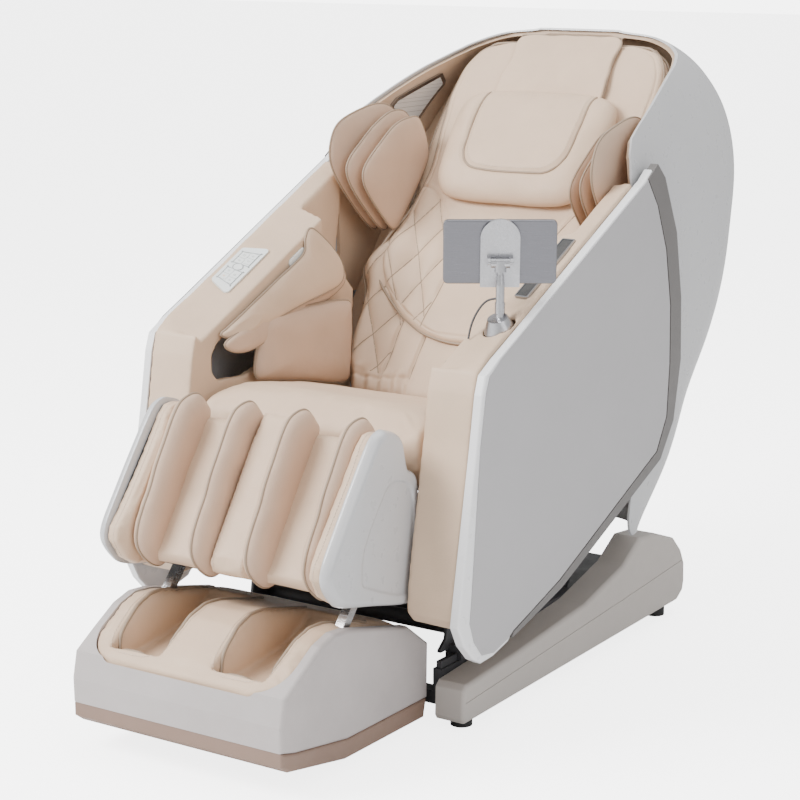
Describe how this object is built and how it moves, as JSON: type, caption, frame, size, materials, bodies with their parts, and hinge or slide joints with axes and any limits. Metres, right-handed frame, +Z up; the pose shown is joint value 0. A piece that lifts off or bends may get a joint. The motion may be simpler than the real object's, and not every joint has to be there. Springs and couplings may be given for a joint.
{
  "type": "massage chair",
  "caption": "Home massage chair with a sliding seat, reclining hooded back, lifting leg rest, extending foot rest, keypad and a tablet on a swivel stand.",
  "frame": {"origin": "on the floor, under the middle of the chair's box with its tablet; the plane of symmetry is at x = -0.01178 m", "axes": "+Z up, the chair faces -Y, +X towards the sitter's left (the tablet side)"},
  "size_m": [0.8048, 1.616, 1.252],
  "materials": {
    "pearl_white": "smooth pearl gloss",
    "satin_grey": "satin",
    "dark_trim": "satin dark grey",
    "base_grey": "fine matt texture",
    "leather": "soft grained champagne leather",
    "foot_white": "grained white cover",
    "foot_brown": "matt mid-brown",
    "black_rubber": "matt",
    "steel": "black powder coat",
    "bright_steel": "ground",
    "silver": "satin anodised",
    "tablet_shell": "brushed satin",
    "screen": "black glass",
    "key_white": "smooth",
    "mat_dark": "fine ribs",
    "grille_white": "perforated",
    "chrome_dark": "polished",
    "black_plastic": "matt",
    "cable": "braided"
  },
  "bodies": {
    "base": {"base_runner_left": "base_grey", "base_runner_right": "base_grey", "base_frame": "steel", "base_cover": "black_plastic", "base_feet": "black_rubber"},
    "seat": {"seat_frame": "steel", "seat_pan": "black_plastic", "seat_cushion": "leather", "side_panel_left": "pearl_white", "side_panel_right": "pearl_white", "panel_faces": "satin_grey", "panel_trims": "dark_trim", "arm_pad_left": "leather", "arm_pad_right": "leather", "hip_pad_left": "leather", "hip_pad_right": "leather", "armrest_left": "leather", "armrest_right": "leather", "keypad_bezel": "key_white", "sensor_pad": "key_white", "tray_frame": "chrome_dark", "tray_mat": "mat_dark", "tablet_post": "silver", "tablet_cable": "cable"},
    "swivel": {"tablet_knuckle": "silver"},
    "slate": {"tablet_cradle": "silver", "tablet": "tablet_shell", "tablet_screen": "screen"},
    "back": {"back_shell": "pearl_white", "back_lining": "leather", "back_frame": "steel", "back_cushion": "leather", "back_wings": "leather", "head_pillow": "leather", "shoulder_pad_left": "leather", "shoulder_pad_right": "leather", "back_board": "leather", "speaker_frames": "chrome_dark", "speaker_grilles": "grille_white"},
    "carriage": {"massage_carriage": "black_plastic"},
    "kneader": {"kneading_heads": "bright_steel"},
    "leg_rest": {"calf_frame": "black_plastic", "knee_shaft": "bright_steel", "calf_cushion": "leather", "calf_fins": "leather", "calf_cap_left": "pearl_white", "calf_cap_right": "pearl_white"},
    "foot_rest": {"foot_shell": "foot_white", "foot_band": "foot_brown", "foot_rails": "bright_steel", "foot_cushion": "leather"},
    "key_1": {"key_1": "key_white"},
    "key_2": {"key_2": "key_white"},
    "key_3": {"key_3": "key_white"},
    "key_4": {"key_4": "key_white"},
    "key_5": {"key_5": "key_white"},
    "key_6": {"key_6": "key_white"},
    "key_7": {"key_7": "key_white"},
    "key_8": {"key_8": "key_white"},
    "key_round": {"key_round": "key_white"}
  },
  "joints": [
    {"name": "seat_slide", "type": "slide", "parent": "base", "child": "seat", "axis": [0, -1, 0], "range_m": [0, 0.1]},
    {"name": "back_recline", "type": "hinge", "parent": "seat", "child": "back", "pos_m": [-0.01178, 0.081, 0.48], "axis": [-1, 0, 0], "range_deg": [0, 22]},
    {"name": "massage_travel", "type": "slide", "parent": "back", "child": "carriage", "axis": [0, 0.6293, 0.7771], "range_m": [-0.2, 0.31]},
    {"name": "kneading_turn", "type": "hinge", "parent": "carriage", "child": "kneader", "pos_m": [-0.01178, 0.36171, 0.77285], "axis": [1, 0, 0], "continuous": true},
    {"name": "leg_lift", "type": "hinge", "parent": "seat", "child": "leg_rest", "pos_m": [-0.01178, -0.449, 0.51], "axis": [-1, 0, 0], "range_deg": [0, 45]},
    {"name": "foot_extend", "type": "slide", "parent": "leg_rest", "child": "foot_rest", "axis": [0, -0.6538, -0.7567], "range_m": [0, 0.06]},
    {"name": "tablet_swivel", "type": "hinge", "parent": "seat", "child": "swivel", "pos_m": [0.32322, -0.261, 0.87], "axis": [0, 0, 1], "range_deg": [-75, 75]},
    {"name": "tablet_tilt", "type": "hinge", "parent": "swivel", "child": "slate", "pos_m": [0.32322, -0.261, 0.878], "axis": [0.8339, 0.5519, 0], "range_deg": [-5, 30]},
    {"name": "key_1_press", "type": "slide", "parent": "seat", "child": "key_1", "axis": [-0.2756, 0.4138, -0.8676], "range_m": [0, 0.0008], "stiffness_N_per_m": 600},
    {"name": "key_2_press", "type": "slide", "parent": "seat", "child": "key_2", "axis": [-0.2756, 0.4138, -0.8676], "range_m": [0, 0.0008], "stiffness_N_per_m": 600},
    {"name": "key_3_press", "type": "slide", "parent": "seat", "child": "key_3", "axis": [-0.2756, 0.4138, -0.8676], "range_m": [0, 0.0008], "stiffness_N_per_m": 600},
    {"name": "key_4_press", "type": "slide", "parent": "seat", "child": "key_4", "axis": [-0.2756, 0.4138, -0.8676], "range_m": [0, 0.0008], "stiffness_N_per_m": 600},
    {"name": "key_5_press", "type": "slide", "parent": "seat", "child": "key_5", "axis": [-0.2756, 0.4138, -0.8676], "range_m": [0, 0.0008], "stiffness_N_per_m": 600},
    {"name": "key_6_press", "type": "slide", "parent": "seat", "child": "key_6", "axis": [-0.2756, 0.4138, -0.8676], "range_m": [0, 0.0008], "stiffness_N_per_m": 600},
    {"name": "key_7_press", "type": "slide", "parent": "seat", "child": "key_7", "axis": [-0.2756, 0.4138, -0.8676], "range_m": [0, 0.0008], "stiffness_N_per_m": 600},
    {"name": "key_8_press", "type": "slide", "parent": "seat", "child": "key_8", "axis": [-0.2756, 0.4138, -0.8676], "range_m": [0, 0.0008], "stiffness_N_per_m": 600},
    {"name": "key_round_press", "type": "slide", "parent": "seat", "child": "key_round", "axis": [-0.2756, 0.4138, -0.8676], "range_m": [0, 0.0008], "stiffness_N_per_m": 600}
  ],
  "couplings": [
    {"joint": "back_recline", "follows": "seat_slide", "rad_per_m": 3.82},
    {"joint": "foot_extend", "follows": "leg_lift", "m_per_rad": 0.076}
  ]
}
